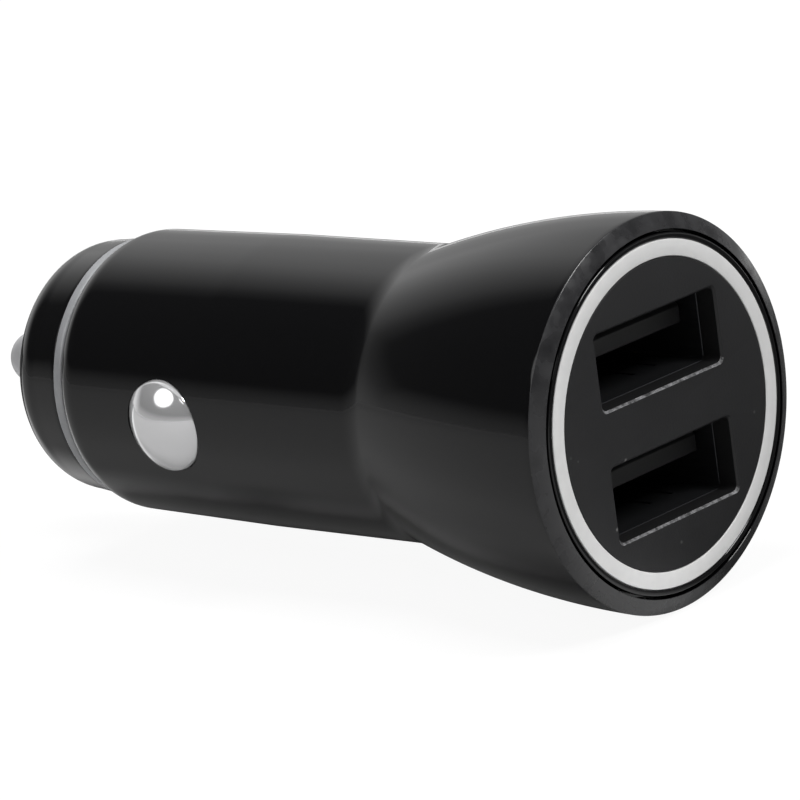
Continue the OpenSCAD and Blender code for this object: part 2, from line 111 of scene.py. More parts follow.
# %% [markdown]
# ## From outline to piece
# The last point is joined to the first, the outline is spun once round the plug's axis and the
# seam and the poles are merged. Only then are the normals worked out again, because a spin can
# leave a shape inside out. Edges that turn by more than 28 degrees are marked sharp, so the
# gloss runs smoothly over the curves and breaks only where the real piece has an edge.

# %% Turning and keeping a piece
def keep(bm, name, place=None, sharp=28):
    if place is not None:
        bmesh.ops.transform(bm, matrix=place, verts=bm.verts)
    mesh = bpy.data.meshes.new(name)
    bmesh.ops.remove_doubles(bm, verts=bm.verts, dist=1e-7)
    bmesh.ops.recalc_face_normals(bm, faces=bm.faces)
    for face in bm.faces:
        face.smooth = True
    for edge in bm.edges:
        edge.smooth = edge.calc_face_angle(0) < math.radians(sharp)
    bm.to_mesh(mesh)
    bm.free()
    piece = bpy.data.objects.new(name, mesh)
    bpy.context.scene.collection.objects.link(piece)
    print(name, "has", len(mesh.polygons), "faces")
    return piece


def turn(bm, steps):
    bmesh.ops.spin(
        bm, geom=bm.verts[:] + bm.edges[:], cent=(0, 0, 0), axis=(1, 0, 0), dvec=(0, 0, 0),
        angle=TURN, steps=steps, use_merge=True, use_duplicate=False)


def close(bm, last, first):
    bm.edges.new((last, first))


# %% [markdown]
# ## Cutting
# Holes are cut with the exact Boolean, and its result is kept as a plain mesh, so that sharp
# edges can be marked again round the cut.

# %% The cutter
def cut(piece, *tools, sharp=28):
    for tool in tools:
        modifier = piece.modifiers.new("cut", "BOOLEAN")
        modifier.operation = "DIFFERENCE"
        modifier.solver = "EXACT"
        modifier.object = tool
    graph = bpy.context.evaluated_depsgraph_get()
    graph.update()
    mesh = bpy.data.meshes.new_from_object(piece.evaluated_get(graph))
    piece.modifiers.clear()
    piece.data = mesh
    for tool in tools:
        bpy.data.objects.remove(tool)
    bm = bmesh.new()
    bm.from_mesh(mesh)
    for face in bm.faces:
        face.smooth = True
    for edge in bm.edges:
        edge.smooth = edge.calc_face_angle(0) < math.radians(sharp)
    bm.to_mesh(mesh)
    bm.free()
    print(piece.name, "after the cut has", len(mesh.polygons), "faces")


# %% [markdown]
# ## The sizes that the pieces share
# They are in millimetres, along the plug and from its axis, and repeat the model's own sizes. One
# differs: the nose cap starts 0.3 mm further back, which makes the grey ring before it as broad
# as it looks on the real plug.

# %% Shared sizes
FACE_X, RIM_X, SEAT_X, FLANGE_X = 20.0, 19.45, 15.5, 16.5
RIM_R, MOUTH_R, RING_OUT_R, RING_IN_R, PUSH_GAP = 13.5, 12.35, 11.7, 10.55, 0.04
BARREL_R, END_R, BORE_R = 10.4, 10.2, 9.1
BARREL_END_X, NOSE_X, NOSE_FRONT_X = -28.1, -29.0, -34.6
SIDE_X, SIDE_TURN = -17.5, math.radians(4)
PORT_Z = 4.525


def about(place_x, place_r, centre_x, centre_r):
    return math.degrees(math.atan2(place_r - centre_r, place_x - centre_x))


# %% [markdown]
# ## The shell
# The shell is one moulding: a straight barrel that opens into a trumpet. Its long curve is an
# arc of 66 mm that runs into the barrel through a small hollow blend, so two spun arcs draw it.
# The faces along the barrel are kept short, because a gloss surface shows every flat.

# %% The shell's outline
FLARE_X, FLARE_C, FLARE_R, NECK_R = 20.9562, -52.497, 66.0, 6.0
TAPER_X, END_X, END_ROUND = -14, -26.5, 2.4
CAP_SEAT_X, CAP_SEAT_R = -26.1, 8.69
THROAT_R, ROOM_R = 11.2, 10.25
meet = (Vector((0, BARREL_R + NECK_R)) - Vector((FLARE_X, FLARE_C))) * FLARE_R / (FLARE_R + NECK_R)
meet_x, meet_r = FLARE_X + meet.x, FLARE_C + meet.y
bm = bmesh.new()
first = start(bm, SEAT_X, MOUTH_R)
pen = line(bm, first, FACE_X, MOUTH_R)
pen = line(bm, pen, RIM_X, RIM_R)
sweep = about(RIM_X, RIM_R, FLARE_X, FLARE_C) - about(meet_x, meet_r, FLARE_X, FLARE_C)
pen = arc(bm, pen, FLARE_X, FLARE_C, sweep, 36)
print("the flare ends at", [round(c / MM, 2) for c in pen.co])
back = about(0, BARREL_R, 0, BARREL_R + NECK_R) - about(meet_x, meet_r, 0, BARREL_R + NECK_R)
pen = arc(bm, pen, 0, BARREL_R + NECK_R, -back, 12)
print("the blend ends at", [round(c / MM, 2) for c in pen.co])
pen = line(bm, pen, TAPER_X, BARREL_R, 24)
pen = line(bm, pen, END_X, END_R, 24)
end_turn = math.degrees(math.asin((END_X - BARREL_END_X) / END_ROUND))
pen = arc(bm, pen, END_X, END_R - END_ROUND, -end_turn, 8)
print("the nose end is at", [round(c / MM, 2) for c in pen.co])
pen = line(bm, pen, BARREL_END_X, CAP_SEAT_R)
pen = line(bm, pen, CAP_SEAT_X, CAP_SEAT_R)
pen = line(bm, pen, CAP_SEAT_X, BORE_R)
pen = line(bm, pen, 1.2, BORE_R, 12)
pen = line(bm, pen, 5, ROOM_R)
pen = line(bm, pen, 9.6, THROAT_R)
pen = line(bm, pen, SEAT_X, THROAT_R)
close(bm, pen, first)
ease(bm, 0.07, (RIM_X, RIM_R))
ease(bm, 0.06, (FACE_X, MOUTH_R))
turn(bm, 256)
shell = keep(bm, "shell_moulding")

# %% [markdown]
# The side contacts come out through two round holes. Each cutter is a cylinder on the contact's
# own line, which is turned a few degrees from the long side of the ports.

# %% The holes for the side contacts
def side_place(side):
    up_to_out = Matrix.Rotation(SIDE_TURN + (math.pi if side < 0 else 0), 4, "X")
    along = Matrix.Rotation(math.radians(-90), 4, "X")
    return up_to_out @ Matrix.Translation((SIDE_X * MM, 0, 0)) @ along


def hole(side, radius=3.4, length=20, middle=13):
    bm = bmesh.new()
    bmesh.ops.create_cone(
        bm, cap_ends=True, segments=96, radius1=radius * MM, radius2=radius * MM,
        depth=length * MM, matrix=side_place(side) @ Matrix.Translation((0, 0, middle * MM)))
    return keep(bm, "hole_cutter")


cut(shell, hole(-1), hole(1))

# %% [markdown]
# ## The nose cap and its ring
# The cap is a separate gloss moulding, a little slimmer than the barrel, with a round front.
# Between the two sits a thin grey ring whose outer corners are well rounded.

# %% The nose cap
CAP_R, CAP_ROUND, HOLE_R = 9.47, 3.0, 2.06
ROUND_X, ROUND_R = NOSE_FRONT_X + CAP_ROUND, 9.2 - CAP_ROUND
INNER_X, INNER_R = -33.4, 5.65
SKIRT_X, SKIRT_R, SKIRT_IN_R = -23.7, 8.65, 7.45
bm = bmesh.new()
first = start(bm, NOSE_X, CAP_R)
pen = line(bm, first, ROUND_X, ROUND_R + CAP_ROUND, 6)
pen = arc(bm, pen, ROUND_X, ROUND_R, -90, 18)
print("the cap's front is at", [round(c / MM, 2) for c in pen.co])
pen = line(bm, pen, NOSE_FRONT_X, HOLE_R, 6)
pen = line(bm, pen, INNER_X, HOLE_R)
pen = line(bm, pen, INNER_X, INNER_R)
pen = arc(bm, pen, ROUND_X, INNER_R, 90, 8)
pen = line(bm, pen, SKIRT_X, SKIRT_IN_R)
pen = line(bm, pen, SKIRT_X, SKIRT_R)
pen = line(bm, pen, NOSE_X, SKIRT_R)
close(bm, pen, first)
ease(bm, 0.15, (NOSE_FRONT_X, HOLE_R))
ease(bm, 0.1, (NOSE_X, CAP_R))
turn(bm, 224)
nose = keep(bm, "nose_cap_moulding")

# %% The grey ring
GREY_IN_R, GREY_OUT_R = 8.7, 9.6
bm = bmesh.new()
first = start(bm, BARREL_END_X, GREY_IN_R)
pen = line(bm, first, BARREL_END_X, GREY_OUT_R)
pen = line(bm, pen, NOSE_X, GREY_OUT_R)
pen = line(bm, pen, NOSE_X, GREY_IN_R)
close(bm, pen, first)
ease(bm, 0.25, (BARREL_END_X, GREY_OUT_R), (NOSE_X, GREY_OUT_R), segments=6)
turn(bm, 224)
ring = keep(bm, "nose_ring")

# %% [markdown]
# ## The front assembly
# Inside the rim sit three pieces that end flush: a gloss lip, the pale ring that glows when the
# plug has power, and the matt plate with the ports. The groove round the lip and the narrow gaps
# between the eased corners draw the fine dark circles that the face is known by.

# %% The gloss lip
LIP_IN_R, LIP_OUT_R, GROOVE_X = RING_OUT_R + PUSH_GAP, 12.15, 19.0
bm = bmesh.new()
first = start(bm, SEAT_X, LIP_IN_R)
pen = line(bm, first, FACE_X, LIP_IN_R)
pen = line(bm, pen, FACE_X, LIP_OUT_R)
pen = line(bm, pen, GROOVE_X, LIP_OUT_R)
pen = line(bm, pen, GROOVE_X, MOUTH_R - PUSH_GAP)
pen = line(bm, pen, SEAT_X, MOUTH_R - PUSH_GAP)
close(bm, pen, first)
ease(bm, 0.12, (FACE_X, LIP_IN_R), (FACE_X, LIP_OUT_R), segments=5)
turn(bm, 224)
lip = keep(bm, "front_lip")

# %% The pale ring
bm = bmesh.new()
first = start(bm, FLANGE_X, RING_IN_R)
pen = line(bm, first, FACE_X, RING_IN_R)
pen = line(bm, pen, FACE_X, RING_OUT_R)
pen = line(bm, pen, FLANGE_X, RING_OUT_R)
close(bm, pen, first)
ease(bm, 0.07, (FACE_X, RING_IN_R), (FACE_X, RING_OUT_R))
turn(bm, 224)
glow = keep(bm, "glow_ring")

# %% [markdown]
# The plate starts as a turned disc with a flange. Each port opening is cut with a bar that has
# rounded corners and a flared front, so that the cut leaves the narrow bevel round the opening.

# %% The plate's blank
PLATE_R = RING_IN_R - PUSH_GAP
bm = bmesh.new()
pen = start(bm, SEAT_X, 0)
pen = line(bm, pen, SEAT_X, RING_OUT_R - PUSH_GAP)
pen = line(bm, pen, FLANGE_X, RING_OUT_R - PUSH_GAP)
pen = line(bm, pen, FLANGE_X, PLATE_R)
pen = line(bm, pen, FACE_X, PLATE_R)
pen = line(bm, pen, FACE_X, 0)
ease(bm, 0.06, (FACE_X, PLATE_R))
turn(bm, 192)
plate = keep(bm, "port_plate")

# %% The openings
def opening(z, width=12.6, height=5.22, corner=0.45, bevel=0.15, depth=6, past_face=0.5):
    bm = bmesh.new()
    size = Matrix.Diagonal((depth * MM, width * MM, height * MM, 1))
    bmesh.ops.create_cube(bm, size=1, matrix=size)
    long_edges = [e for e in bm.edges if abs((e.verts[0].co - e.verts[1].co).x) > MM]
    bmesh.ops.bevel(
        bm, geom=long_edges, offset=corner * MM, offset_type="OFFSET", segments=6, profile=0.5,
        affect="EDGES", material=-1)
    front = max(bm.faces, key=lambda f: f.calc_center_median().x)
    for grow in (0, bevel, past_face):
        made = bmesh.ops.extrude_discrete_faces(bm, faces=[front])["faces"][0]
        bmesh.ops.translate(bm, verts=made.verts, vec=(grow * MM, 0, 0))
        factor = Vector((1, 1 + 2 * grow / width, 1 + 2 * grow / height))
        if grow == bevel:
            bmesh.ops.scale(bm, vec=factor, verts=made.verts)
        front = made
    bmesh.ops.translate(bm, verts=bm.verts, vec=((FACE_X - bevel - depth / 2) * MM, 0, z * MM))
    return keep(bm, "opening_cutter")


cut(plate, opening(PORT_Z), opening(-PORT_Z))

# %% The pocket behind each opening
def pocket(z, depth=4, width=13.18, height=5.8, middle=16.4):
    bm = bmesh.new()
    size = Matrix.Diagonal((depth * MM, width * MM, height * MM, 1))
    bmesh.ops.create_cube(bm, size=1, matrix=Matrix.Translation((middle * MM, 0, z * MM)) @ size)
    return keep(bm, "pocket_cutter")


cut(plate, pocket(PORT_Z), pocket(-PORT_Z))

# %% [markdown]
# ## The contacts
# The centre contact is a turned pin with a round tip. Each side contact is a drawn cup: a domed
# end that slides through the shell, and a flange that holds it in. Here the dome is 0.2 mm
# prouder and a little flatter than the solid's, so that its highlight falls as on the real one.

# %% The centre contact
TIP_X, PIN_R, TAIL_X, TAIL_R = -42.6, 2, -29.35, 1.5
COLLAR_X, COLLAR_BACK_X, COLLAR_R = -33.35, -32.35, 3.4
bm = bmesh.new()
pen = start(bm, TIP_X, 0)
pen = arc(bm, pen, TIP_X + PIN_R, 0, 90, 16)
print("the tip is full at", [round(c / MM, 2) for c in pen.co])
pen = line(bm, pen, COLLAR_X, PIN_R, 8)
pen = line(bm, pen, COLLAR_X, COLLAR_R)
pen = line(bm, pen, COLLAR_BACK_X, COLLAR_R)
pen = line(bm, pen, COLLAR_BACK_X, TAIL_R)
pen = line(bm, pen, TAIL_X, TAIL_R)
pen = line(bm, pen, TAIL_X, 0)
turn(bm, 96)
pin = keep(bm, "centre_pin_turned")

# %% The side contacts
DOME_R, DOME_TOP, CUP_R, CUP_WALL = 4.6, 11.64, 3.34, 0.5
DOME_C = DOME_TOP - DOME_R
CUP_FOOT, CUP_FLANGE_T, CUP_FLANGE_R = 7.517, 0.5, 4.2


def side_contact(side, name):
    upright = Matrix.Rotation(math.radians(-90), 4, "Y")
    edge = math.degrees(math.asin(CUP_R / DOME_R))
    room_r, inner_r = CUP_R - CUP_WALL, DOME_R - CUP_WALL
    inner = math.degrees(math.asin(room_r / inner_r))
    bm = bmesh.new()
    pen = start(bm, DOME_TOP, 0)
    pen = arc(bm, pen, DOME_C, 0, -edge, 18)
    corner = (pen.co.x / MM, CUP_R)
    pen = line(bm, pen, CUP_FOOT + CUP_FLANGE_T, CUP_R)
    pen = line(bm, pen, CUP_FOOT + CUP_FLANGE_T, CUP_FLANGE_R)
    pen = line(bm, pen, CUP_FOOT, CUP_FLANGE_R)
    pen = line(bm, pen, CUP_FOOT, room_r)
    pen = line(bm, pen, DOME_C + math.cos(math.radians(inner)) * inner_r, room_r)
    pen = arc(bm, pen, DOME_C, 0, inner, 10)
    ease(bm, 0.22, corner, segments=5)
    turn(bm, 128)
    return keep(bm, name, place=side_place(side) @ upright)


left_dome = side_contact(-1, "left_ground_cup")
right_dome = side_contact(1, "right_ground_cup")

# %% [markdown]
# ## The springs
# A helical spin, which moves a little along the axis at every step, draws the coil spring: a
# closed turn at each end and an even pitch between.

# %% The coil spring
SPRING_A, SPRING_B, WIRE, COIL_R = COLLAR_BACK_X, -23.2, 0.5, 2.4
bm = bmesh.new()
wire_points = bmesh.ops.create_circle(
    bm, cap_ends=False, segments=14, radius=WIRE / 2 * MM,
    matrix=Matrix.Translation(((SPRING_A + WIRE / 2) * MM, 0, COIL_R * MM))
    @ Matrix.Rotation(math.radians(90), 4, "X"))["verts"]
loop = wire_points + list({e for v in wire_points for e in v.link_edges})
open_run = SPRING_B - SPRING_A - 3 * WIRE
for turns, rise in ((1, WIRE), (4, open_run), (1, WIRE)):
    steps = 48 * turns
    loop = bmesh.ops.spin(
        bm, geom=loop, cent=(0, 0, 0), axis=(1, 0, 0), dvec=(rise * MM / steps, 0, 0),
        angle=TURN * turns, steps=steps, use_merge=False, use_duplicate=False)["geom_last"]
bmesh.ops.holes_fill(bm, edges=[e for e in bm.edges if e.is_boundary], sides=0)
coil = keep(bm, "pin_coil_spring")

# %% [markdown]
# ## Pieces that keep the shape of their solid
# The port housings, the tongues, the leaf springs and most parts on the board already have the
# right shape. A merged copy of each such solid with a small bevel gives it the eased edges of
# folded sheet and moulded resin. The strips in the ports sit so close in their grooves that they
# get none. The tip of each tongue is also tapered, so that a plug finds its way under it.

# %% Beveled copies
def taper_nose(bm, run=0.5, drop=0.5, lift=0.2):
    front = max(v.co.x for v in bm.verts)
    bmesh.ops.bisect_plane(
        bm, geom=bm.verts[:] + bm.edges[:] + bm.faces[:], plane_co=(front - run * MM, 0, 0),
        plane_no=(1, 0, 0))
    tip = [v for v in bm.verts if v.co.x > front - 0.01 * MM]
    middle = sum(v.co.z for v in tip) / len(tip)
    for v in tip:
        v.co.z += lift * MM if v.co.z < middle else -drop * MM


def eased_copy(node, name, width, angle=40):
    bm = bmesh.new()
    bm.from_mesh(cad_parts[node].data)
    bmesh.ops.remove_doubles(bm, verts=bm.verts, dist=1e-6)
    bmesh.ops.dissolve_limit(
        bm, angle_limit=math.radians(1), use_dissolve_boundaries=False, verts=bm.verts,
        edges=bm.edges, delimit={"NORMAL"})
    if node.endswith("tongue"):
        taper_nose(bm)
    piece = keep(bm, name, sharp=angle)
    rounding = piece.modifiers.new("eased", "BEVEL")
    rounding.width = width * MM
    rounding.segments = 2
    rounding.limit_method = "ANGLE"
    rounding.angle_limit = math.radians(angle)
    rounding.harden_normals = True
    return piece


copies = {
    "upper_port_tongue": ("upper_tongue_moulding", 0.08),
    "lower_port_tongue": ("lower_tongue_moulding", 0.08),
    "upper_port_housing": ("upper_housing_sheet", 0.05),
    "lower_port_housing": ("lower_housing_sheet", 0.05),
    "power_inductor": ("inductor_block", 0.2),
    "controller_chip": ("controller_package", 0.04),
    "rectifier_diode": ("diode_package", 0.05),
    "chip_parts": ("ceramic_chips", 0.05),
    "leaf_spring_left": ("left_leaf", 0.03),
    "leaf_spring_right": ("right_leaf", 0.03),
}
eased = {node: eased_copy(node, name, width) for node, (name, width) in copies.items()}

# %% [markdown]
# ## A function for shader nodes
# Every finish below is a small tree of nodes. One helper adds a node, sets what is given and
# links what comes from another node, so each finish reads as a short list. A finish starts from
# one plain colour, the one that a simple viewer shows, and its tree then refines it.

# %% The node helper
def add(tree, kind, links=None, **settings):
    node = tree.nodes.new(kind)
    for name, value in settings.items():
        if hasattr(node, name):
            setattr(node, name, value)
        else:
            node.inputs[name.replace("_", " ")].default_value = value
    for name, source in (links or {}).items():
        tree.links.new(source, node.inputs[name])
    return node


def finish_named(name, base, roughness, metallic=0.0, **settings):
    material = bpy.data.materials.new(name)
    material.use_nodes = True
    tree = material.node_tree
    shader = tree.nodes["Principled BSDF"]
    shader.inputs["Base Color"].default_value = colour(base)
    shader.inputs["Roughness"].default_value = roughness
    shader.inputs["Metallic"].default_value = metallic
    for key, value in settings.items():
        shader.inputs[key.replace("_", " ")].default_value = value
    place = add(tree, "ShaderNodeTexCoord").outputs["Object"]
    return material, tree, shader, place


# %% [markdown]
# ## Gloss black moulded plastic
# The shell, cap and lip are ABS from a polished mould, like a piano key. Nearly all that the eye
# sees is reflection, so the base is close to black. A very shallow, wide wave (shrink marks of
# about 6 mm) keeps the reflections from being perfect, and a faint haze varies the roughness.

# %% Gloss black
gloss, tree, shader, place = finish_named("gloss_black_abs", "#060607", 0.06, IOR=1.46)
shrink = add(tree, "ShaderNodeTexNoise", {"Vector": place}, Scale=160, Detail=1)
bump = add(tree, "ShaderNodeBump", {"Height": shrink.outputs["Fac"]}, Strength=0.03,
           Distance=0.0002)
haze = add(tree, "ShaderNodeTexNoise", {"Vector": place}, Scale=400, Detail=4)
spread = add(tree, "ShaderNodeMapRange", {"Value": haze.outputs["Fac"]}, To_Min=0.04, To_Max=0.09)
tree.links.new(bump.outputs["Normal"], shader.inputs["Normal"])
tree.links.new(spread.outputs["Result"], shader.inputs["Roughness"])

# %% [markdown]
# ## The rim's cut band
# The narrow slope round the mouth is duller than the shell and finely marked. One noise with fine
# octaves draws the marks. A coarser one, with patches of about 1.4 mm, varies the gloss and mixes
# two greys into the base colour: a painted reflection, standing for the soft grey patches of light
# that the slope mirrors.

# %% Rim band
band_painted_reflection, tree, shader, place = finish_named("rim_band_abs_painted_reflection", "#262628", 0.25, IOR=1.5)
marks = add(tree, "ShaderNodeTexNoise", {"Vector": place}, Scale=1400, Detail=5, Roughness=0.7)
bump = add(tree, "ShaderNodeBump", {"Height": marks.outputs["Fac"]}, Strength=0.25,
           Distance=0.00004)
painted_reflection_and_gloss_patches = add(tree, "ShaderNodeTexNoise", {"Vector": place}, Scale=700, Detail=2)
spread = add(tree, "ShaderNodeMapRange", {"Value": painted_reflection_and_gloss_patches.outputs["Fac"]}, From_Min=0.3,
             From_Max=0.7, To_Min=0.12, To_Max=0.42)
# The two greys are painted reflection, not the resin's own colour.
tone = add(tree, "ShaderNodeMix", {"Factor": spread.outputs["Result"]}, data_type="RGBA")
tone.inputs["A"].default_value = colour("#1a1a1b")
tone.inputs["B"].default_value = colour("#39393b")
tree.links.new(tone.outputs["Result"], shader.inputs["Base Color"])
tree.links.new(bump.outputs["Normal"], shader.inputs["Normal"])
tree.links.new(spread.outputs["Result"], shader.inputs["Roughness"])

# %% [markdown]
# ## Matt black moulded plastic
# The plate is ABS from a spark-eroded mould: a fine even grain of about 0.1 mm that scatters the
# light. It is drawn twice as coarse so that it shows. A few pale specks stand for the dust that
# such a face collects.

# %% Matt black
matt, tree, shader, place = finish_named(
    "spark_eroded_black_abs", "#0c0c0d", 0.55, IOR=1.5, Specular_IOR_Level=0.3)
grain = add(tree, "ShaderNodeTexNoise", {"Vector": place}, Scale=5000, Detail=3, Roughness=0.6)
bump = add(tree, "ShaderNodeBump", {"Height": grain.outputs["Fac"]}, Strength=0.35,
           Distance=0.00003)
cloud = add(tree, "ShaderNodeTexNoise", {"Vector": place}, Scale=260, Detail=5)
tone = add(tree, "ShaderNodeMix", {"Factor": cloud.outputs["Fac"]}, data_type="RGBA")
tone.inputs["A"].default_value = colour("#1c1c1d")
tone.inputs["B"].default_value = colour("#242425")
flat = add(tree, "ShaderNodeMapping", {"Vector": place}, Scale=(0, 1, 1))
specks = add(tree, "ShaderNodeTexVoronoi", {"Vector": flat.outputs["Vector"]}, Scale=650)
small = add(tree, "ShaderNodeMapRange", {"Value": specks.outputs["Distance"]}, From_Min=0.03,
            From_Max=0.1, To_Min=1, To_Max=0)
some = add(tree, "ShaderNodeMapRange", {"Value": specks.outputs["Color"]}, From_Min=0.55,
           From_Max=0.7)
dust = add(tree, "ShaderNodeMath", {0: small.outputs["Result"], 1: some.outputs["Result"]},
           operation="MULTIPLY")
dusted = add(tree, "ShaderNodeMix", {"Factor": dust.outputs[0]}, data_type="RGBA")
tree.links.new(tone.outputs["Result"], dusted.inputs["A"])
dusted.inputs["B"].default_value = colour("#626261")
tree.links.new(dusted.outputs["Result"], shader.inputs["Base Color"])
tree.links.new(bump.outputs["Normal"], shader.inputs["Normal"])

# %% The plate's bevels
# The pale greys on the bevels are a painted highlight, mottled by the grain that roughens them.
bevel_painted_highlight, tree, shader, place = finish_named("bevel_abs_painted_highlight", "#1c1c1e", 0.4, IOR=1.5)
bevel_grain_and_highlight = add(tree, "ShaderNodeTexNoise", {"Vector": place}, Scale=1800, Detail=6, Roughness=0.75)
bump = add(tree, "ShaderNodeBump", {"Height": bevel_grain_and_highlight.outputs["Fac"]}, Strength=0.6, Distance=0.0001)
painted_highlight_tone = add(tree, "ShaderNodeValToRGB", {"Fac": bevel_grain_and_highlight.outputs["Fac"]})
painted_highlight_tone.color_ramp.elements[0].position = 0.4
painted_highlight_tone.color_ramp.elements[0].color = colour("#202021")
painted_highlight_tone.color_ramp.elements[1].position = 0.62
painted_highlight_tone.color_ramp.elements[1].color = colour("#7c7c7e")
tree.links.new(painted_highlight_tone.outputs["Color"], shader.inputs["Base Color"])
tree.links.new(bump.outputs["Normal"], shader.inputs["Normal"])

# %% [markdown]
# ## The pale diffuser
# The ring is a milky light guide of polycarbonate. It is off, so it shows only its own light
# grey, with a satin surface and a faint cloudiness of the resin about 1 mm across.

# %% Pale diffuser
milky, tree, shader, place = finish_named("milky_polycarbonate", "#d2d2d2", 0.4, IOR=1.58)
cloud = add(tree, "ShaderNodeTexNoise", {"Vector": place}, Scale=900, Detail=3)
tone = add(tree, "ShaderNodeMix", {"Factor": cloud.outputs["Fac"]}, data_type="RGBA")
tone.inputs["A"].default_value = colour("#cfcfcf")
tone.inputs["B"].default_value = colour("#dcdcdb")
bump = add(tree, "ShaderNodeBump", {"Height": cloud.outputs["Fac"]}, Strength=0.08,
           Distance=0.00005)
tree.links.new(tone.outputs["Result"], shader.inputs["Base Color"])
tree.links.new(bump.outputs["Normal"], shader.inputs["Normal"])

# %% [markdown]
# ## Metals
# The side contacts are drawn steel with bright chrome: a clear mirror with a soft grey body. The
# pin and the ring are duller. The port housings are nickel-plated sheet whose rolling marks run
# along it, painted dark grey as painted shade, since they sit deep in the ports. The strips in the
# ports are gold over brass.

# %% Bright chrome
chrome, tree, shader, place = finish_named("bright_chrome_plate", "#ebebec", 0.07, 0.76)
wave = add(tree, "ShaderNodeTexNoise", {"Vector": place}, Scale=500, Detail=2)
bump = add(tree, "ShaderNodeBump", {"Height": wave.outputs["Fac"]}, Strength=0.03, Distance=0.0001)
spread = add(tree, "ShaderNodeMapRange", {"Value": wave.outputs["Fac"]}, To_Min=0.07, To_Max=0.13)
tree.links.new(bump.outputs["Normal"], shader.inputs["Normal"])
tree.links.new(spread.outputs["Result"], shader.inputs["Roughness"])


# %% Plated and rolled metals
def metal(name, base, dark, roughness, stretch, scale, metallic=0.9):
    material, tree, shader, place = finish_named(name, base, roughness, metallic)
    mapped = add(tree, "ShaderNodeMapping", {"Vector": place}, Scale=stretch)
    marks = add(tree, "ShaderNodeTexNoise", {"Vector": mapped.outputs["Vector"]},
                Detail=4, Roughness=0.65)
    marks.inputs["Scale"].default_value = scale
    tone = add(tree, "ShaderNodeMix", {"Factor": marks.outputs["Fac"]}, data_type="RGBA")
    tone.inputs["A"].default_value = colour(dark)
    tone.inputs["B"].default_value = colour(base)
    bump = add(tree, "ShaderNodeBump", {"Height": marks.outputs["Fac"]}, Strength=0.12,
               Distance=0.00004)
    tree.links.new(tone.outputs["Result"], shader.inputs["Base Color"])
    tree.links.new(bump.outputs["Normal"], shader.inputs["Normal"])
    return material


dull_nickel = metal("turned_nickel_plate", "#c6c6c8", "#acacae", 0.42, (1, 1, 1), 1500, 0.6)
grey_ring = metal("satin_grey_ring", "#a5a6a8", "#8c8d90", 0.38, (1, 1, 1), 1200, 0.4)
# The housings' dark greys are painted shade, not the nickel's own colour.
nickel_sheet_painted_shade = metal("nickel_plated_sheet", "#505154", "#393a3d", 0.4, (0.1, 1, 1), 4000)
gold = metal("gold_plated_brass", "#d8b463", "#b48c3c", 0.28, (0.1, 1, 1), 5000, 1.0)
brass = metal("tinned_brass", "#c9bfa6", "#a4977a", 0.35, (0.2, 1, 1), 3000, 1.0)
spring_steel = metal("drawn_spring_steel", "#a9abae", "#7c7e82", 0.3, (1, 1, 1), 3500, 1.0)

# %% [markdown]
# ## Inside the ports and on the board
# The tongue and the packages are dark glass-filled resin with a fine grain. The board is green
# solder mask over woven glass, so a faint weave of about 0.4 mm shows through it. The capacitors
# wear a shrunk sleeve, and the small ceramic chips are a fired tan.

# %% Moulded resins
def resin(name, low, high, roughness, scale, strength=0.15):
    material, tree, shader, place = finish_named(name, low, roughness, IOR=1.55)
    grain = add(tree, "ShaderNodeTexNoise", {"Vector": place}, Detail=4)
    grain.inputs["Scale"].default_value = scale
    tone = add(tree, "ShaderNodeMix", {"Factor": grain.outputs["Fac"]}, data_type="RGBA")
    tone.inputs["A"].default_value = colour(low)
    tone.inputs["B"].default_value = colour(high)
    bump = add(tree, "ShaderNodeBump", {"Height": grain.outputs["Fac"]}, Strength=strength,
               Distance=0.00004)
    tree.links.new(tone.outputs["Result"], shader.inputs["Base Color"])
    tree.links.new(bump.outputs["Normal"], shader.inputs["Normal"])
    return material


# The tongues are this black nylon; the walls inside the plate's openings wear it too, as painted
# shade.
port_plastic_and_wall_shade = resin("black_nylon_and_painted_wall_shade", "#0a0a0b", "#131314", 0.5, 3000)
chip_resin = resin("moulded_epoxy", "#18181a", "#242427", 0.5, 4500)
ferrite = resin("sintered_ferrite", "#2b2b2e", "#3c3c40", 0.6, 2500, 0.3)
sleeve = resin("shrunk_pet_sleeve", "#1c2030", "#262b3d", 0.25, 600, 0.1)
ceramic = resin("fired_ceramic", "#9c8763", "#c2b193", 0.4, 1800)
led = resin("cast_clear_epoxy", "#e6e2cc", "#f4f1e4", 0.15, 900, 0.05)

# %% The board
board, tree, shader, place = finish_named("green_solder_mask", "#1d4a2c", 0.28, IOR=1.55)
weave = add(tree, "ShaderNodeTexBrick", {"Vector": place}, Scale=1200)
weave.inputs["Color1"].default_value = colour("#1b472a")
weave.inputs["Color2"].default_value = colour("#225434")
weave.inputs["Mortar"].default_value = colour("#163c22")
bump = add(tree, "ShaderNodeBump", {"Height": weave.outputs["Fac"]}, Strength=0.1,
           Distance=0.00005)
tree.links.new(weave.outputs["Color"], shader.inputs["Base Color"])
tree.links.new(bump.outputs["Normal"], shader.inputs["Normal"])

# %% [markdown]
# ## Dressing every piece
# Each new piece stands for a solid, rides on that solid's body and takes its finish. The solids
# that stay get their finish in place of the plain colour they came with.

# %% Pieces that stand for a solid
def wear(piece, *finishes):
    piece.data.materials.clear()
    for finish in finishes:
        piece.data.materials.append(finish)


